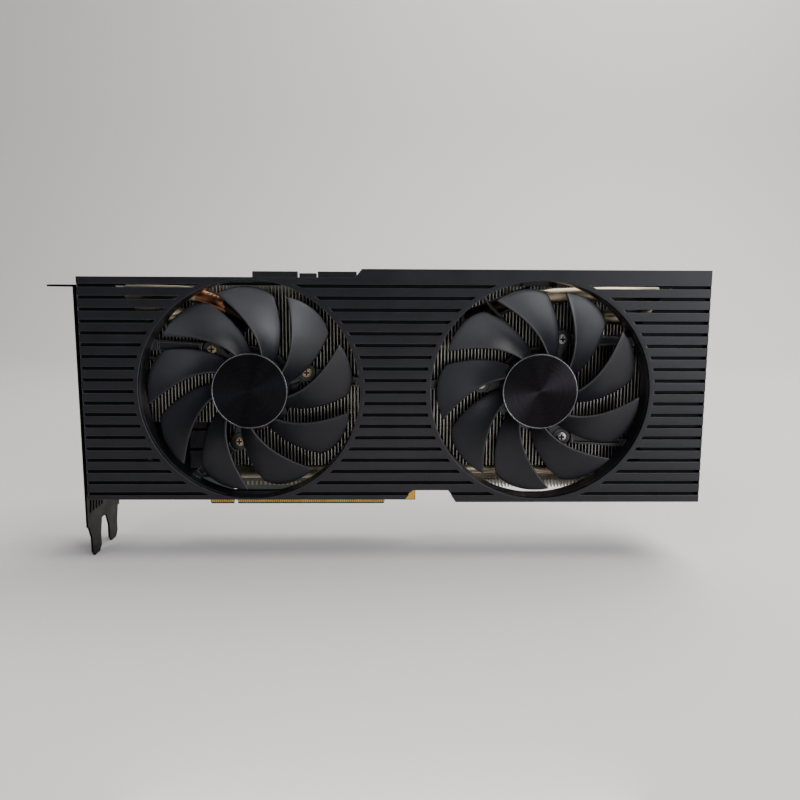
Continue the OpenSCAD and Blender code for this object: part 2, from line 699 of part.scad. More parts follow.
module rotor(x, root) color("#2b2c31") at_fan(x) {
    difference() {
        ring(0, hub_r, hub_back, hub_front - 0.5);
        translate([0, 0, hub_back - 1]) cylinder(r = 14.65, h = hub_front - 2.2 - hub_back + 1);
        translate([0, 0, hub_front - 3]) cylinder(r = 1, h = 1.4);
    }
    ring(1, 3.4, hub_front - 3, hub_front - 1.6);
    for (i = [0 : blade_count - 1]) rotate(root + i * 360 / blade_count) blade();
}

module hub_disc(x) color("#15161a") at_fan(x) ring(0, hub_r - 0.55, hub_front - 0.5, hub_front - 0.15);
module hub_ring(x) color(steel) at_fan(x) ring(hub_r - 0.5, hub_r, hub_front - 0.5, hub_front);

// Each motor's lead, from the motor along an arm to the ring, back past the fins and into its header.
// The route is a smooth curve through a few points, given from the fan's axis along the card.
lead_r = 0.9;
left_lead_points = [[-11, -24.65, 67.2], [-19, -24.65, 71], [-30, -24.65, 72.5], [-40, -24.65, 72.7],
    [-47.2, -24.5, 73.3], [-49.4, -21.5, 76.2], [-49.5, -15, 78], [-49.5, -8, 78], [-49.5, -2.4, 78]];
right_lead_points = [[-5.5, -24.65, 74], [-8.6, -24.65, 81.4], [-14, -24.65, 89], [-20.4, -24.65, 95.6],
    [-25, -24.65, 101.4], [-31, -24.65, 104], [-43, -24.65, 100.4], [-56.5, -24.65, 91.8],
    [-60.4, -20.5, 88.8],
    [-60, -13, 88], [-60, -7, 88], [-60, -2.4, 88]];

module lead(x, points) color("#1b1b1d")
    tube([for (p = points) p + [x, 0, 0]], lead_r, 10, 7);

// ---------- assembly ----------

front_cover();
io_bracket();
back_plate();
circuit_board();
edge_contacts();
link_connector_cap();
gpu_package();
gpu_die();
memory_chips();
power_inductors();
power_stages();
polymer_capacitors();
coupling_capacitors();
support_chips();
power_socket(power_xs[0]);  // power_socket_inner
power_socket(power_xs[1]);  // power_socket_outer
power_pins();
fan_headers();
display_sockets();
hdmi_socket();
socket_tongues();
frame_plate();
thermal_pads();
cold_plate();
heat_pipes_inner();
heat_pipe_lower();
heat_pipe_upper_left();
heat_pipe_upper_right();
heat_pipe_ends();
fin_stack_left();
fin_stack_right();
retention_plate();
retention_screws();
back_plate_screws();
cover_screws();
bracket_screws();
motor_screws();
fan_frame(left_fan_x, left_arms, left_exit, -45.9, 46.3);  // left_fan_frame
rotor(left_fan_x, root_angles[0]);  // left_fan_rotor
hub_disc(left_fan_x);  // left_fan_hub_disc
hub_ring(left_fan_x);  // left_fan_hub_ring
magnet(left_fan_x);  // left_fan_magnet
shaft(left_fan_x);  // left_fan_shaft
bearing(left_fan_x);  // left_fan_bearing
stator(left_fan_x);  // left_fan_stator
windings(left_fan_x);  // left_fan_windings
motor_base(left_fan_x, left_arms);  // left_fan_motor_base
lead(left_fan_x, left_lead_points);  // left_fan_lead
fan_frame(right_fan_x, right_arms, right_exit, -47, 50);  // right_fan_frame
rotor(right_fan_x, root_angles[1]);  // right_fan_rotor
hub_disc(right_fan_x);  // right_fan_hub_disc
hub_ring(right_fan_x);  // right_fan_hub_ring
magnet(right_fan_x);  // right_fan_magnet
shaft(right_fan_x);  // right_fan_shaft
bearing(right_fan_x);  // right_fan_bearing
stator(right_fan_x);  // right_fan_stator
windings(right_fan_x);  // right_fan_windings
motor_base(right_fan_x, right_arms);  // right_fan_motor_base
lead(right_fan_x, right_lead_points);  // right_fan_lead
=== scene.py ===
# %% [markdown]
# # A graphics card with two fans
#
# The card's frame and moving parts come from its CAD model, in metres, with the origin at the key
# notch of the edge connector, +X along the card and the fans facing -Y. Here it gets its looks: the
# front cover with softened ribs, smooth fan blades, spun discs, real screws and a finish for
# everything. Whatever is shaped here replaces the CAD piece that it stands for, at the same place.

# %% Setting up
import bmesh
import bpy
import math
from mathutils import Matrix, Vector


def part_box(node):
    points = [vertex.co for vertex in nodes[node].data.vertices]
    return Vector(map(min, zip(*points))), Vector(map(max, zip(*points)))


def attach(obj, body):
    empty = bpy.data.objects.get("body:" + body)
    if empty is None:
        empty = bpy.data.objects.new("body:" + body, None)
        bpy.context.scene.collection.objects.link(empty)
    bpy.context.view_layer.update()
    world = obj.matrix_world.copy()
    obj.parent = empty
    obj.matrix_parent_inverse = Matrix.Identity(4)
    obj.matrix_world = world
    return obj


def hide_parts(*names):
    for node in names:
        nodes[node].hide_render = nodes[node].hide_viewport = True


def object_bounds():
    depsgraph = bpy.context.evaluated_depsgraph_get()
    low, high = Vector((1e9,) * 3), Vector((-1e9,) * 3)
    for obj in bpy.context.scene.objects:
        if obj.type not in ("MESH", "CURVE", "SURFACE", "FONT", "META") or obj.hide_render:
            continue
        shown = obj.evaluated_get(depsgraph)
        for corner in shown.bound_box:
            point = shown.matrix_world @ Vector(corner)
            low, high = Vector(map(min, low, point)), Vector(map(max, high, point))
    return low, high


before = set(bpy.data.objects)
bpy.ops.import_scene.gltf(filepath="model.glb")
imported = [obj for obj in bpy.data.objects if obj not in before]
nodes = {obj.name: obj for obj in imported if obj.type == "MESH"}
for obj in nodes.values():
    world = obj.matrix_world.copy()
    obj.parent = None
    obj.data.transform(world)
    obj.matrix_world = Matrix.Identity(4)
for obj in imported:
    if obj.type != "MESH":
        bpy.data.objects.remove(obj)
cad_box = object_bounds()
MM = 0.001
print("CAD box:", cad_box)

# %% [markdown]
# ## The camera
#
# The camera stands a little above the card, about a third of a metre in front of its fans, and looks
# down on it by 8 degrees. A 33.5 mm lens from so near shows some perspective: the inside of each
# fan opening can be seen on the far side from the middle.

# %% The camera
PITCH = math.radians(8.19)
YAW = math.radians(1.09)
ROLL = math.radians(0.25)
camera_data = bpy.data.cameras.new("camera")
camera_data.lens = 33.5
camera_data.clip_start = 0.01
camera = bpy.data.objects.new("camera", camera_data)
bpy.context.scene.collection.objects.link(camera)
aim = Matrix.Rotation(-YAW, 4, "Z") @ Matrix.Rotation(math.pi / 2 - PITCH, 4, "X")
place = Matrix.Translation((72.65 * MM, -352.9 * MM, 101.53 * MM))
camera.matrix_world = place @ aim @ Matrix.Rotation(ROLL, 4, "Z")
bpy.context.scene.camera = camera
print("camera:", camera_data.lens, "mm lens")

# %% [markdown]
# ## Helpers
#
# Three helpers serve every piece: one selects nothing, one adds a shader node with its settings and
# links, and one turns a hex colour, as a paint chart gives it, into the linear values that shaders use.


# %% Helpers
def deselect():
    """Leaves object mode with nothing selected."""
    if bpy.context.object and bpy.context.object.mode != "OBJECT":
        bpy.ops.object.mode_set(mode="OBJECT")
    bpy.ops.object.select_all(action="DESELECT")


def add_node(tree, kind, inputs=None, **settings):
    """Adds a node. inputs gives a value, or another node's output, for each named or numbered socket."""
    node = tree.nodes.new(kind)
    for name, value in settings.items():
        setattr(node, name, value)
    for name, value in (inputs or {}).items():
        if isinstance(value, bpy.types.NodeSocket):
            tree.links.new(value, node.inputs[name])
        else:
            node.inputs[name].default_value = value
    return node


def linear(hex_colour):
    """An sRGB hex colour as linear red, green, blue and alpha."""
    values = [int(hex_colour[i:i + 2], 16) / 255 for i in (1, 3, 5)]
    return [v / 12.92 if v <= 0.04045 else ((v + 0.055) / 1.055) ** 2.4 for v in values] + [1.0]


# %% [markdown]
# ## The room
#
# A product is usually lit in a pale room with one wide soft light above it and weaker fill from the
# sides. The floor and the wall are one sheet with a rounded corner, so no line shows behind the card.
# The floor touches the lowest point of the card: the tips of its bracket. A window low on the right
# makes the cover lighter towards that end, and a small pale card that lies in front of the fans lights
# the discs on their hubs from below.

# %% The floor and the wall
floor_z = cad_box[0][2]
deselect()
bpy.ops.mesh.primitive_plane_add(size=1, location=(0.07, 0.2, floor_z))
room = bpy.context.object
room.name = "room"
room.scale = (6, 2.4, 1)
bpy.ops.object.transform_apply(location=True, rotation=False, scale=True)
back_edge = 1.4
bpy.ops.object.mode_set(mode="EDIT")
bm = bmesh.from_edit_mesh(room.data)
for edge in bm.edges:
    edge.select_set(all(v.co.y > back_edge - 0.01 for v in edge.verts))
bm.select_flush_mode()
bmesh.update_edit_mesh(room.data)
bpy.ops.mesh.extrude_region_move(TRANSFORM_OT_translate={"value": (0, 0, 2.5)})
bpy.ops.object.mode_set(mode="OBJECT")
bevel = room.modifiers.new("corner", "BEVEL")
bevel.width = 0.5
bevel.segments = 12
bpy.ops.object.modifier_apply(modifier="corner")
bpy.ops.object.shade_smooth()

wall_paint = bpy.data.materials.new("pale_wall_paint")
wall_paint.use_nodes = True
shader = wall_paint.node_tree.nodes["Principled BSDF"]
shader.inputs["Base Color"].default_value = linear("#dddbd9")
shader.inputs["Roughness"].default_value = 0.75
room.data.materials.append(wall_paint)

# %% The lights


def soft_light(name, place, aim, size, power, colour):
    """Sets a rectangular area light at place, facing aim."""
    light = bpy.data.lights.new(name, "AREA")
    light.shape = "RECTANGLE"
    light.size, light.size_y = size
    light.energy = power
    light.color = linear(colour)[:3]
    lamp = bpy.data.objects.new(name, light)
    bpy.context.scene.collection.objects.link(lamp)
    lamp.location = place
    lamp.rotation_euler = (Vector(aim) - Vector(place)).to_track_quat("-Z", "Y").to_euler()


middle = (0.075, 0, 0.05)
soft_light("ceiling_light", (0.9, 0.25, 1.5), middle, (2.2, 1.2), 50, "#fffcf8")
soft_light("front_ceiling_light", (-0.5, -1.0, 1.0), middle, (0.6, 0.5), 3.5, "#f6f7ff")
soft_light("window_light", (1.1, -1.1, 0.2), middle, (0.7, 0.9), 24, "#f6f8ff")
soft_light("lamp", (0.45, -1.15, 0.9), middle, (0.45, 0.4), 3.8, "#f8f8ff")
soft_light("reflector_card", (0.072, -0.2, floor_z + 0.012), (0.072, -0.03, 0.05), (0.12, 0.05), 0.025,
           "#fff8ee")
world = bpy.data.worlds.new("pale_room")
world.use_nodes = True
world.node_tree.nodes["Background"].inputs["Color"].default_value = linear("#e8e6e4")
world.node_tree.nodes["Background"].inputs["Strength"].default_value = 0.1
bpy.context.scene.world = world
print("room:", room.name, "with", len(bpy.data.lights), "lights")

# %% [markdown]
# ## Moulded plastic
#
# The cover and the fans are injection moulded. The cover is ABS with polycarbonate, charcoal, with
# the fine grain of a spark-eroded mould. The grain breaks up reflections, so the surface is satin. On
# top of that come faint cloudy changes of colour and gloss, as hands leave them. Grain of 0.1 mm is
# too fine to show from here, so it's drawn at 0.35 mm. The grooves get a finish that is rougher and
# shines less, and its near-black colour is painted shade in the grooves.

# %% Moulded plastic
def new_material(name):
    """An empty node material, its tree and its shader."""
    material = bpy.data.materials.new(name)
    material.use_nodes = True
    tree = material.node_tree
    return material, tree, tree.nodes["Principled BSDF"]


def object_place(tree):
    """The place on the piece, in metres."""
    return add_node(tree, "ShaderNodeTexCoord").outputs["Object"]


def noise(tree, size_mm, detail=2.0, stretch=(1, 1, 1), where=None):
    """Noise whose blotches are about size_mm wide, longer along axes with a stretch over 1."""
    scale = [1 / (size_mm * MM * s) for s in stretch]
    place = add_node(tree, "ShaderNodeMapping", {"Vector": where or object_place(tree), "Scale": scale})
    blotches = add_node(tree, "ShaderNodeTexNoise", {
        "Vector": place.outputs[0], "Scale": 1.0, "Detail": detail})
    return blotches.outputs[0]


def spread(tree, value, low, high, start=0.3, end=0.7):
    """A noise value spread from low to high."""
    return add_node(tree, "ShaderNodeMapRange", {
        0: value, "From Min": start, "From Max": end, "To Min": low, "To Max": high}).outputs[0]


def two_tone(tree, value, first, second, start=0.3, end=0.7):
    """A colour between two hex colours, led by a noise value."""
    ramp = add_node(tree, "ShaderNodeValToRGB", {0: value})
    ramp.color_ramp.elements[0].position = start
    ramp.color_ramp.elements[0].color = linear(first)
    ramp.color_ramp.elements[1].position = end
    ramp.color_ramp.elements[1].color = linear(second)
    return ramp.outputs[0]


def relief(tree, shader, height, depth_mm):
    """Bumps the surface by height, which runs from 0 to 1 over depth_mm."""
    bump = add_node(tree, "ShaderNodeBump", {"Height": height, "Distance": depth_mm * MM, "Strength": 1.0})
    tree.links.new(bump.outputs[0], shader.inputs["Normal"])


CLOUD_MM = 9
GLOSS_CLOUD_MM = 14


def moulded_plastic(name, dark, light, gloss, grain_mm, grain_depth_mm, shine=0.5):
    """Moulded plastic: cloudy colour, gloss as (low, high) roughness and a fine mould grain."""
    material, tree, shader = new_material(name)
    clouds = noise(tree, CLOUD_MM, 3)
    tree.links.new(two_tone(tree, clouds, dark, light), shader.inputs["Base Color"])
    tree.links.new(spread(tree, noise(tree, GLOSS_CLOUD_MM, 4), *gloss), shader.inputs["Roughness"])
    shader.inputs["IOR"].default_value = 1.5
    shader.inputs["Specular IOR Level"].default_value = shine
    relief(tree, shader, noise(tree, grain_mm, 1), grain_depth_mm)
    return material


cover_plastic = moulded_plastic(
    "charcoal_ABS_moulded", "#0b0c11", "#101117", (0.38, 0.46), 0.35, 0.012, 0.3)
# Lighter finish for the cover's rounded edges: rubbed wear and painted highlight.
rubbed_edge_and_painted_highlight = moulded_plastic(
    "charcoal_ABS_rubbed_edges_and_painted_highlight", "#16171c", "#24252b", (0.32, 0.42), 0.35, 0.006, 0.4)
# Near-black finish for the groove faces: painted shade in the grooves.
groove_painted_shade = moulded_plastic(
    "charcoal_ABS_painted_groove_shade", "#050507", "#08080b", (0.6, 0.7), 0.35, 0.02, 0.12)
fan_plastic = moulded_plastic("dark_grey_PBT_moulded", "#0d0e13", "#121319", (0.38, 0.46), 0.3, 0.006, 0.4)
frame_plastic = moulded_plastic("black_PBT_moulded", "#0b0b0d", "#101013", (0.3, 0.38), 0.3, 0.004)
# Lighter finish for the rounded edges of the fans' frames: painted highlight.
frame_painted_highlight = moulded_plastic("black_PBT_painted_edge_highlight", "#2a2b30", "#3c3d42", (0.26, 0.34), 0.3, 0.006)
black_plastic = moulded_plastic("black_nylon_moulded", "#121214", "#1a1a1c", (0.4, 0.5), 0.25, 0.01)
white_plastic = moulded_plastic("natural_nylon_moulded", "#cfc9b8", "#dcd7c8", (0.4, 0.5), 0.25, 0.01)
chip_resin = moulded_plastic("black_epoxy_moulded", "#17181a", "#202123", (0.55, 0.7), 0.2, 0.015)
# Dark finish for the screws' cross recesses: painted shade in the recess.
recess_painted_shade = moulded_plastic("painted_recess_shade", "#14110d", "#241e17", (0.6, 0.75), 0.3, 0.01, 0.2)
ceramic = moulded_plastic("barium_ceramic", "#7c6a52", "#93816a", (0.4, 0.55), 0.2, 0.006)
thermal_pad = moulded_plastic("silicone_thermal_pad", "#6d7880", "#7f8a92", (0.7, 0.8), 0.6, 0.03)
lead_cover = moulded_plastic("black_PVC_extruded", "#101011", "#18181a", (0.35, 0.45), 0.5, 0.01)

# %% [markdown]
# ## Metals
#
# The bracket is sheet steel with a dark nickel plating. The fins are rolled aluminium foil, dulled by
# the air that is blown through them. The pipes are nickel plated copper, but one bend is bare and
# still orange, and some stretches are painted dark as shade. Metals get their look from
# roughness: rolling, drawing and plating all leave faint streaks, so the gloss wanders along the way
# that the metal was worked. The streaks are a few hundredths of a millimetre apart, and are drawn
# 0.3 mm apart.


# %% Metals
STREAK_MM = 0.3
STREAK_DEPTH_MM = 0.004


def metal(name, dark, light, gloss, patch_mm, streak=(1, 1, 1)):
    """Metal whose colour and roughness wander over patch_mm, with fine streaks along streak."""
    material, tree, shader = new_material(name)
    patches = noise(tree, patch_mm, 4)
    tree.links.new(two_tone(tree, patches, dark, light), shader.inputs["Base Color"])
    tree.links.new(spread(tree, patches, *gloss), shader.inputs["Roughness"])
    shader.inputs["Metallic"].default_value = 1.0
    relief(tree, shader, noise(tree, STREAK_MM, 1, streak), STREAK_DEPTH_MM)
    return material


dark_nickel = metal("dark_nickel_plated_steel", "#0b0909", "#110f0f", (0.44, 0.56), 6, (1, 1, 14))
pale_nickel = metal("nickel_plated_copper", "#a39880", "#bdb19a", (0.4, 0.52), 5, (12, 1, 1))
orange_copper = metal("copper_bare", "#7d5238", "#b0805c", (0.28, 0.42), 4, (12, 1, 1))
# Dark finish for the pipes' shaded stretches: painted shade.
copper_painted_shade = metal("copper_painted_dark_for_shade", "#1d1916", "#3a3028", (0.4, 0.55), 4, (12, 1, 1))
foil = metal("aluminium_foil_rolled", "#8f8c85", "#a7a49c", (0.34, 0.46), 8, (1, 1, 12))
zinc_steel = metal("steel_zinc_plated", "#8d8c88", "#a5a39e", (0.28, 0.4), 3)
bright_steel = metal("steel_polished", "#5c5d61", "#6e6f73", (0.2, 0.28), 3)
yellow_steel = metal("steel_yellow_passivated", "#857a60", "#a89c80", (0.3, 0.42), 2)
gold = metal("gold_over_nickel", "#c79a3f", "#dcb45a", (0.24, 0.36), 4, (1, 1, 10))
bronze = metal("bronze_sintered", "#8b6a3a", "#a5824c", (0.4, 0.55), 1)
ferrite = metal("ferrite_pressed", "#38383a", "#48484b", (0.5, 0.65), 1)
laminations = metal("electrical_steel_stamped", "#6f7073", "#838487", (0.35, 0.5), 2)
black_sheet = metal("aluminium_black_anodised", "#17181a", "#1f2023", (0.4, 0.52), 9)
drawn_can = metal("aluminium_can_drawn", "#a0a2a4", "#b6b8ba", (0.25, 0.35), 3)
magnet_wire = metal("enamelled_copper_wire", "#8a4a26", "#b0643a", (0.25, 0.35), 0.6)
silicon = metal("silicon_polished", "#5d6168", "#6c7078", (0.1, 0.16), 12)
print("metals:", dark_nickel.name, "to", silicon.name)

# %% [markdown]
# ## The discs on the hubs
#
# Each hub carries a thin aluminium disc, anodised black. A tool has turned fine circles on it, and
# circles spread a light's reflection across themselves. The disc then shows two bright wedges that
# meet at its middle, and not a round spot. The shader does the same with Anisotropic, which stretches
# a highlight along the Tangent, so the Tangent points straight out from the fan's axis. The circles
# are 0.1 mm apart and are drawn 0.3 mm apart.


# %% Spun metal
def spun_aluminium(name, axis_at, dark, light):
    """Black anodised aluminium turned round the axis along Y at the point axis_at."""
    material, tree, shader = new_material(name)
    offset = add_node(tree, "ShaderNodeVectorMath", {0: object_place(tree), 1: axis_at},
                      operation="SUBTRACT")
    from_axis = add_node(tree, "ShaderNodeVectorMath", {0: offset.outputs[0], 1: (1, 0, 1)},
                         operation="MULTIPLY")
    outwards = add_node(tree, "ShaderNodeVectorMath", {0: from_axis.outputs[0]}, operation="NORMALIZE")
    tree.links.new(outwards.outputs[0], shader.inputs["Tangent"])
    radius = add_node(tree, "ShaderNodeVectorMath", {0: from_axis.outputs[0]}, operation="LENGTH")
    circles = add_node(tree, "ShaderNodeTexNoise", {"W": radius.outputs["Value"], "Scale": 1 / (0.3 * MM),
                                                    "Detail": 2.0}, noise_dimensions="1D")
    tree.links.new(two_tone(tree, circles.outputs[0], dark, light), shader.inputs["Base Color"])
    tree.links.new(spread(tree, circles.outputs[0], 0.26, 0.34), shader.inputs["Roughness"])
    shader.inputs["Metallic"].default_value = 1.0
    shader.inputs["Anisotropic"].default_value = 0.95
    return material


# %% [markdown]
# ## The circuit board
#
# The board is glass laminate under a dark green solder mask. Copper tracks under the mask lift it a
# little, so they show as slightly lighter lines. Real tracks are 0.15 mm wide and too fine to show,
# so they're drawn 0.5 mm wide, by snapping the place to a grid and asking for noise there. It is one
# finish for one piece, so it is put together here without a function.

# %% The circuit board's finish
TRACK_W = 0.5 * MM
green_mask, tree, shader = new_material("green_solder_mask")
track = add_node(tree, "ShaderNodeVectorMath", {0: object_place(tree), 1: (TRACK_W, TRACK_W, TRACK_W)},
                 operation="SNAP")
tracks = noise(tree, 1.6, 1, where=track.outputs[0])
tree.links.new(two_tone(tree, tracks, "#102c25", "#173a2e", 0.47, 0.53), shader.inputs["Base Color"])
tree.links.new(spread(tree, noise(tree, 20, 2), 0.3, 0.42), shader.inputs["Roughness"])
shader.inputs["IOR"].default_value = 1.55
relief(tree, shader, tracks, 0.03)
substrate = moulded_plastic("green_chip_substrate", "#1c4434", "#24503e", (0.35, 0.45), 0.5, 0.006)

# %% [markdown]
# ## Softening the CAD pieces
#
# The CAD pieces have the right shapes and places, but their edges are perfectly sharp, which no
# moulded, bent or turned part has. An edge that shows is rounded, because the thin light line along
# it is what the eye reads as a real edge. A CAD piece is never changed: it is copied, the copy's
# loose triangles are merged, its flat faces are joined and cut again into even triangles, because a
# face with hundreds of corners can fold over itself. A Bevel modifier rounds the edges, and a
# Weighted Normal modifier keeps the flats from being shaded as if they bent with them. Where a second
# finish is given, the rounded strips take it: bare metal on the back plate, rubbed wear with painted
# highlight on the cover, and painted highlight on the fans' frames.


# %% Rounded copies
def bench_copy(node, name):
    """A copy of a CAD node's mesh with merged points and joined flat faces."""
    deselect()
    piece = bpy.data.objects.new(name, nodes[node].data.copy())
    bpy.context.scene.collection.objects.link(piece)
    piece.data.materials.clear()
    piece.select_set(True)
    bpy.context.view_layer.objects.active = piece
    bpy.ops.object.mode_set(mode="EDIT")
    bpy.ops.mesh.select_all(action="SELECT")
    bpy.ops.mesh.remove_doubles(threshold=0.002 * MM)
    bpy.ops.mesh.dissolve_limited(angle_limit=math.radians(0.5))
    bpy.ops.mesh.quads_convert_to_tris(quad_method="BEAUTY", ngon_method="BEAUTY")
    bpy.ops.object.mode_set(mode="OBJECT")
    return piece


SHARP = math.radians(30)
CREASE = math.radians(40)


def round_edges(piece, radius_mm, segments=2, strip_finish=False):
    """Rounds every sharp edge and shades the piece smooth. The strips may take a second finish."""
    bevel = piece.modifiers.new("rounded_edges", "BEVEL")
    bevel.width = radius_mm * MM
    bevel.segments = segments
    bevel.limit_method = "ANGLE"
    bevel.angle_limit = SHARP
    bevel.use_clamp_overlap = False
    if strip_finish:
        bevel.material = 1
    deselect()
    piece.select_set(True)
    bpy.context.view_layer.objects.active = piece
    bpy.ops.object.modifier_apply(modifier="rounded_edges")
    bpy.ops.object.shade_smooth_by_angle(angle=CREASE)


def fasten(piece, body, slot, *stands_for):
    """Fastens a finished piece to its body, in place of the CAD nodes that it stands for."""
    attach(piece, body)
    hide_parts(*stands_for)
    print(piece.name, "has", len(piece.data.polygons), "faces")


def rounded(node, body, slot, radius_mm, *finishes):
    """A rounded copy of a CAD node, finished and fastened in its place."""
    piece = bench_copy(node, node + "_finished")
    for finish in finishes:
        piece.data.materials.append(finish)
    if radius_mm:
        round_edges(piece, radius_mm, strip_finish=len(finishes) > 1)
        flats = piece.modifiers.new("true_flats", "WEIGHTED_NORMAL")
        flats.keep_sharp = True
        flats.weight = 100
        bpy.ops.object.modifier_apply(modifier="true_flats")
    else:
        bpy.ops.object.shade_smooth_by_angle(angle=CREASE)
    fasten(piece, body, slot, node)
    return piece


# %% [markdown]
# ## The front cover
#
# One moulding with nineteen grooves across it. The edges of its ribs are rounded by about a quarter
# of a millimetre and made a little lighter than the flats, as rubbed wear and painted highlight. The
# grooves are painted almost black as shade. Their faces are found by place: more than half a
# millimetre behind the front, hardly deeper than a groove, and facing forwards, up or down.

# %% The front cover
GROOVE_FROM = 0.5 * MM
GROOVE_TO = 2.2 * MM
# The cover's rounded strips take the rubbed wear with painted highlight.
cover = rounded("front_cover", "card", "cover_plastic", 0.22, cover_plastic, rubbed_edge_and_painted_highlight, groove_painted_shade)
cover_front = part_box("front_cover")[0][1]
# The groove faces take the painted shade.
in_grooves = [face for face in cover.data.polygons
              if GROOVE_FROM < face.center.y - cover_front < GROOVE_TO
              and (face.normal.y < -0.3 or abs(face.normal.z) > 0.9)]
for face in in_grooves:
    face.material_index = 2
print("faces in the grooves:", len(in_grooves))
rounded("link_connector_cap", "card", "black_plastic", 0.15, black_plastic)

# %% [markdown]
# ## The bracket and the back plate
#
# The bracket is cut and folded from 0.86 mm sheet, so its edges are nearly sharp. The back plate is
# cut from 1 mm aluminium, blackened before it was cut, so its rounded edge shows bare metal.

# %% The bracket and the back plate
rounded("io_bracket", "card", "bracket_metal", 0.12, dark_nickel)
rounded("back_plate", "card", "back_plate_metal", 0.12, black_sheet, foil)
rounded("retention_plate", "card", "steel", 0.1, zinc_steel)

# %% [markdown]
# ## The fans' frames
#
# Behind each opening is a short wall with three arms that carry the motor. An arm is a thin channel
# with raised edges, which catch the light. The frames' rounded edges are painted lighter as highlight.

# %% The fans' frames
for side in ("left", "right"):
    # The frames' rounded strips take the painted highlight.
    rounded(side + "_fan_frame", "card", "fan_plastic", 0.2, frame_plastic, frame_painted_highlight)
    rounded(side + "_fan_motor_base", "card", "fan_plastic", 0.2, frame_plastic)
    rounded(side + "_fan_lead", "card", "lead_plastic", 0, lead_cover)

# %% [markdown]
# ## A fan blade
#
# A blade is a thin curved wing that sweeps forwards as it goes out, and slopes back from its leading
# edge to its trailing edge, so that the turning rotor pushes air at the fins. It could be cut from a
# block, but the curve is easier to give to a grid: one way across the grid is the span, from hub to
# tip, and the other is the chord, from leading to trailing edge. Each point goes to its own radius,
# angle and depth. The two corners of the tip are cut back by a power curve each. Solidify then gives
# the wing its thickness, and a bevel rounds its rim.
#
# The sizes are in millimetres and the angles in degrees: the tip runs 38 degrees ahead of the root, and
# the blade spans 20 degrees at the root and 32 at the tip.

# %% The shape of a blade
HUB_R = 16.2
ROTOR_R = 44.8
ROOT_R = HUB_R - 0.8
BLADE_FRONT = 35.8
BLADE_BACK = 28.9
SWEEP = 38
ROOT_CHORD = 20
CHORD_GAIN = 12


def blade_place(span, chord):
    """A point on the blade in a fan's own frame, in metres. Both span and chord run from 0 to 1."""
    tip = ROTOR_R - 1.4 * (1 - chord) ** 3 - 3.4 * chord ** 4
    radius = ROOT_R + span * (tip - ROOT_R)
    lead = SWEEP * (1.35 * span - 0.35 * span ** 2)
    angle = math.radians(lead - (ROOT_CHORD + CHORD_GAIN * (1 - (1 - span) ** 2)) * chord)
    drop = (BLADE_FRONT - BLADE_BACK) * (1.3 * chord - 0.3 * chord ** 2)
    depth = BLADE_FRONT - drop - 0.5 * span * (1 - chord)
    return Vector((radius * math.cos(angle), -depth, radius * math.sin(angle))) * MM


# %% One blade
def make_blade():
    """One blade at angle 0 on an axis at the origin."""
    deselect()
    bpy.ops.mesh.primitive_grid_add(x_subdivisions=14, y_subdivisions=12, size=1, location=(0, 0, 0))
    blade = bpy.context.object
    for vertex in blade.data.vertices:
        vertex.co = blade_place(vertex.co.x + 0.5, vertex.co.y + 0.5)
    bpy.ops.object.mode_set(mode="EDIT")
    bpy.ops.mesh.select_all(action="SELECT")
    bpy.ops.mesh.normals_make_consistent(inside=False)
    bpy.ops.object.mode_set(mode="OBJECT")
    wing = blade.modifiers.new("thickness", "SOLIDIFY")
    wing.thickness = 1.0 * MM
    wing.offset = 0
    rim = blade.modifiers.new("rim", "BEVEL")
    rim.width = 0.42 * MM
    rim.segments = 3
    rim.angle_limit = math.radians(60)
    bpy.ops.object.modifier_apply(modifier="thickness")
    bpy.ops.object.modifier_apply(modifier="rim")
    return blade


# %% [markdown]
# ## A rotor
#
# The rotor is one moulding: a cup for the hub, which holds the ring magnet, and nine blades round it.
# The cup starts as a cylinder. Its back face is inset and pushed in, and that floor is inset again
# and pulled out for the boss that grips the shaft. The blade is copied round the axis, and all are
# joined. The left rotor has stopped with a blade at 110 degrees and the right one at 119.


# %% The hub's cup
def select_faces(piece, test):
    """In edit mode, selects the faces whose middle and normal pass the test."""
    bm = bmesh.from_edit_mesh(piece.data)
    for face in bm.faces:
        face.select_set(test(face.calc_center_median(), face.normal))
    bmesh.update_edit_mesh(piece.data)


CUP_R = 14.65
BOSS_R = 3.4


def make_hub():
    """The hub's cup round an axis at the origin."""
    deselect()
    cup_back, cup_front = -29.0 * MM, -36.1 * MM
    bpy.ops.mesh.primitive_cylinder_add(
        vertices=128, radius=HUB_R * MM, depth=cup_back - cup_front,
        location=(0, (cup_back + cup_front) / 2, 0), rotation=(math.pi / 2, 0, 0))
    cup = bpy.context.object
    bpy.ops.object.transform_apply(location=True, rotation=True, scale=True)
    bpy.ops.object.mode_set(mode="EDIT")
    select_faces(cup, lambda middle, normal: normal.y > 0.9)
    bpy.ops.mesh.inset(thickness=(HUB_R - CUP_R) * MM)
    bpy.ops.mesh.extrude_region_move(TRANSFORM_OT_translate={"value": (0, -5.4 * MM, 0)})
    bpy.ops.mesh.inset(thickness=(CUP_R - BOSS_R) * MM)
    bpy.ops.mesh.extrude_region_move(TRANSFORM_OT_translate={"value": (0, 0.8 * MM, 0)})
    bpy.ops.object.mode_set(mode="OBJECT")
    round_edges(cup, 0.25, 3)
    return cup


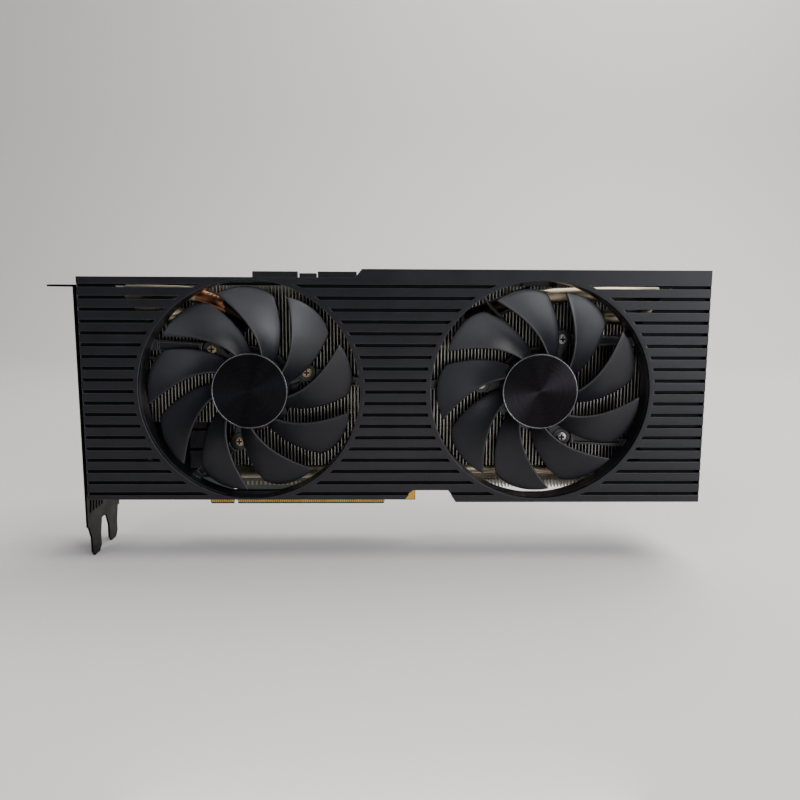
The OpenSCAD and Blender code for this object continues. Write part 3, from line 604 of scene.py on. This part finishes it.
# %% Both rotors
BLADES = 9
AXES = {}
for side, first_blade in (("left", 110), ("right", 119)):
    low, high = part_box(side + "_fan_hub_ring")
    AXES[side] = ((low[0] + high[0]) / 2, 0, (low[2] + high[2]) / 2)
    rotor = make_hub()
    rotor.name = side + "_fan_rotor_finished"
    blade = make_blade()
    parts = [rotor, blade]
    for i in range(1, BLADES):
        deselect()
        blade.select_set(True)
        bpy.context.view_layer.objects.active = blade
        bpy.ops.object.duplicate()
        copy = bpy.context.object
        bpy.ops.transform.rotate(value=math.radians(i * 360 / BLADES), orient_axis="Y",
                                 center_override=(0, 0, 0))
        parts.append(copy)
    deselect()
    for part in parts:
        part.select_set(True)
    bpy.context.view_layer.objects.active = rotor
    bpy.ops.object.transform_apply(location=True, rotation=True, scale=True)
    bpy.ops.object.join()
    bpy.ops.transform.rotate(value=math.radians(first_blade), orient_axis="Y", center_override=(0, 0, 0))
    bpy.ops.transform.translate(value=AXES[side])
    bpy.ops.object.transform_apply(location=True, rotation=True, scale=True)
    rotor.data.materials.append(fan_plastic)
    bpy.ops.object.shade_smooth_by_angle(angle=math.radians(50))
    fasten(rotor, side + "_fan", "fan_plastic", side + "_fan_rotor")
print("fan axes:", AXES)

# %% [markdown]
# ## The hub's disc and ring
#
# The disc lies in a shallow seat, and a thin polished ring frames it.

# %% The hub's disc and ring
# Both discs are the same part. The left one gets darker colours and the right one lighter: painted shade
# on the left disc and painted light on the right.
for side, dark, light in (("left", "#131317", "#1c1c20"), ("right", "#161518", "#222023")):
    spun = spun_aluminium("spun_black_aluminium_painted_light_" + side, AXES[side], dark, light)
    rounded(side + "_fan_hub_disc", side + "_fan", "disc_metal", 0.08, spun)
    rounded(side + "_fan_hub_ring", side + "_fan", "steel", 0.15, bright_steel)

# %% [markdown]
# ## The motors' screws
#
# Each motor base is held by three small machine screws. A head is a thin flange with a domed middle,
# and the middle has a cross recess. It starts as a cylinder, whose front face is inset and pulled out
# for the dome. Two small bars are then cut away with a Boolean modifier, which is easier than to
# model the recess face by face. The recess's faces, which lie between 0.25 and 0.93 mm ahead of the
# flange's back, are painted dark as shade in the recess. The left motor's screws are yellow
# passivated, and the right motor's are plain zinc.


# %% One motor screw
FLANGE_BACK = -27.2 * MM
FLANGE_T = 0.45 * MM
RECESS_L = 2.5
RECESS_W = 0.75
RECESS_R = 1.4 * MM


def bar_cutter(width, height):
    """A small bar across the axis, from outside the head to the bottom of the recess."""
    deselect()
    bpy.ops.mesh.primitive_cube_add(size=1, location=(0, FLANGE_BACK - 0.95 * MM, 0))
    bar = bpy.context.object
    bar.scale = (width * MM, 1.3 * MM, height * MM)
    bpy.ops.object.transform_apply(location=True, rotation=True, scale=True)
    return bar


def make_screw(finish):
    """A screw in a finish, on an axis along Y through the origin, with its cross recess painted dark as
    shade.
    """
    bars = [bar_cutter(RECESS_L, RECESS_W), bar_cutter(RECESS_W, RECESS_L)]
    deselect()
    bpy.ops.mesh.primitive_cylinder_add(
        vertices=40, radius=2.1 * MM, depth=FLANGE_T,
        location=(0, FLANGE_BACK - FLANGE_T / 2, 0), rotation=(math.pi / 2, 0, 0))
    screw = bpy.context.object
    bpy.ops.object.transform_apply(location=True, rotation=True, scale=True)
    bpy.ops.object.mode_set(mode="EDIT")
    select_faces(screw, lambda middle, normal: normal.y < -0.9)
    bpy.ops.mesh.inset(thickness=0.45 * MM)
    bpy.ops.mesh.extrude_region_move(TRANSFORM_OT_translate={"value": (0, -0.5 * MM, 0)})
    select_faces(screw, lambda middle, normal: normal.y > 0.9)
    bpy.ops.mesh.inset(thickness=1.2 * MM)
    bpy.ops.mesh.extrude_region_move(TRANSFORM_OT_translate={"value": (0, 2.8 * MM, 0)})
    bpy.ops.object.mode_set(mode="OBJECT")
    round_edges(screw, 0.14, 3)
    for bar in bars:
        recess = screw.modifiers.new("recess", "BOOLEAN")
        recess.object = bar
        recess.operation = "DIFFERENCE"
        bpy.ops.object.modifier_apply(modifier="recess")
        bpy.data.objects.remove(bar)
    screw.data.materials.append(finish)
    # The recess faces take the painted shade.
    screw.data.materials.append(recess_painted_shade)
    for face in screw.data.polygons:
        ahead = (FLANGE_BACK - face.center.y) / MM
        if 0.25 < ahead < 0.93 and math.hypot(face.center.x, face.center.z) < RECESS_R:
            face.material_index = 1
    bpy.ops.object.shade_smooth_by_angle(angle=CREASE)
    return screw


# %% The six motor screws
SCREW_R = 24.6
SCREW_ANGLES = {"left": (135.5, 16.5, 254.5), "right": (63.5, 299, 175)}
for side, finish in (("left", yellow_steel), ("right", zinc_steel)):
    screws = []
    for degrees in SCREW_ANGLES[side]:
        screw = make_screw(finish)
        place = Matrix.Rotation(-math.radians(degrees), 4, "Y") @ Vector((SCREW_R * MM, 0, 0))
        bpy.ops.transform.translate(value=Vector(AXES[side]) + place)
        bpy.ops.object.transform_apply(location=True, rotation=True, scale=True)
        screws.append(screw)
    deselect()
    for screw in screws:
        screw.select_set(True)
    bpy.context.view_layer.objects.active = screws[0]
    bpy.ops.object.join()
    screws[0].name = side + "_motor_screws_finished"
    fasten(screws[0], "card", "screw_yellow" if side == "left" else "steel", "motor_screws")

# %% The other screws
for screws in ("back_plate_screws", "cover_screws", "bracket_screws", "retention_screws"):
    rounded(screws, "card", "steel", 0.1, zinc_steel)

# %% [markdown]
# ## The pipes
#
# The pipes are drawn copper tube, 6.4 mm across. Their smooth sides only need smooth shading. The
# left upper pipe is nickel plated on its straight stretch and bare where it was bent after plating,
# and painted dark as shade after that. The right upper pipe is plated on its straight stretch and
# painted dark as shade where it runs in under the fan. A face takes its finish by how far along the card
# it lies.

# %% The pipes
LEFT_PLATED = 31 * MM
LEFT_BARE = 12 * MM
RIGHT_PLATED = 50 * MM
# Past its bare bend, the left pipe is painted dark as shade.
left_pipe = rounded("heat_pipe_upper_left", "card", "copper", 0, pale_nickel, orange_copper, copper_painted_shade)
bare_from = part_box("heat_pipe_upper_left")[0][0] + LEFT_PLATED
for face in left_pipe.data.polygons:
    beyond = face.center.x - bare_from
    face.material_index = (beyond > 0) + (beyond > LEFT_BARE)
# Where it runs in under the fan, the right pipe is painted dark as shade.
right_pipe = rounded("heat_pipe_upper_right", "card", "copper", 0, pale_nickel, copper_painted_shade)
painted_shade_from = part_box("heat_pipe_upper_right")[1][0] - RIGHT_PLATED
for face in right_pipe.data.polygons:
    face.material_index = int(face.center.x < painted_shade_from)
rounded("heat_pipe_lower", "card", "copper", 0, pale_nickel)
rounded("heat_pipe_ends", "card", "copper", 0, pale_nickel)
rounded("heat_pipes_inner", "card", "copper", 0, pale_nickel)

# %% [markdown]
# ## Finishes for the pieces that keep their CAD shape
#
# The fins, the parts on the board and the motors' inner parts are right as they are. Each gets the
# finish that the real one has.


# %% Finishes by piece
def finish_nodes(finish, *names):
    """Gives CAD nodes a finish."""
    for name in names:
        nodes[name].data.materials.clear()
        nodes[name].data.materials.append(finish)
    print(finish.name, "on", ", ".join(names))


finish_nodes(foil, "fin_stack_left", "fin_stack_right")
finish_nodes(orange_copper, "cold_plate")
finish_nodes(black_sheet, "frame_plate")
finish_nodes(green_mask, "circuit_board")
finish_nodes(gold, "edge_contacts", "power_pins")
finish_nodes(substrate, "gpu_package")
finish_nodes(silicon, "gpu_die")
finish_nodes(chip_resin, "memory_chips", "power_stages", "support_chips")
finish_nodes(ferrite, "power_inductors")
finish_nodes(drawn_can, "polymer_capacitors")
finish_nodes(ceramic, "coupling_capacitors")
finish_nodes(thermal_pad, "thermal_pads")
finish_nodes(white_plastic, "fan_headers")
finish_nodes(black_plastic, "power_socket_inner", "power_socket_outer", "socket_tongues")
finish_nodes(zinc_steel, "display_sockets", "hdmi_socket")
for side in ("left", "right"):
    finish_nodes(ferrite, side + "_fan_magnet")
    finish_nodes(bright_steel, side + "_fan_shaft")
    finish_nodes(bronze, side + "_fan_bearing")
    finish_nodes(laminations, side + "_fan_stator")
    finish_nodes(magnet_wire, side + "_fan_windings")
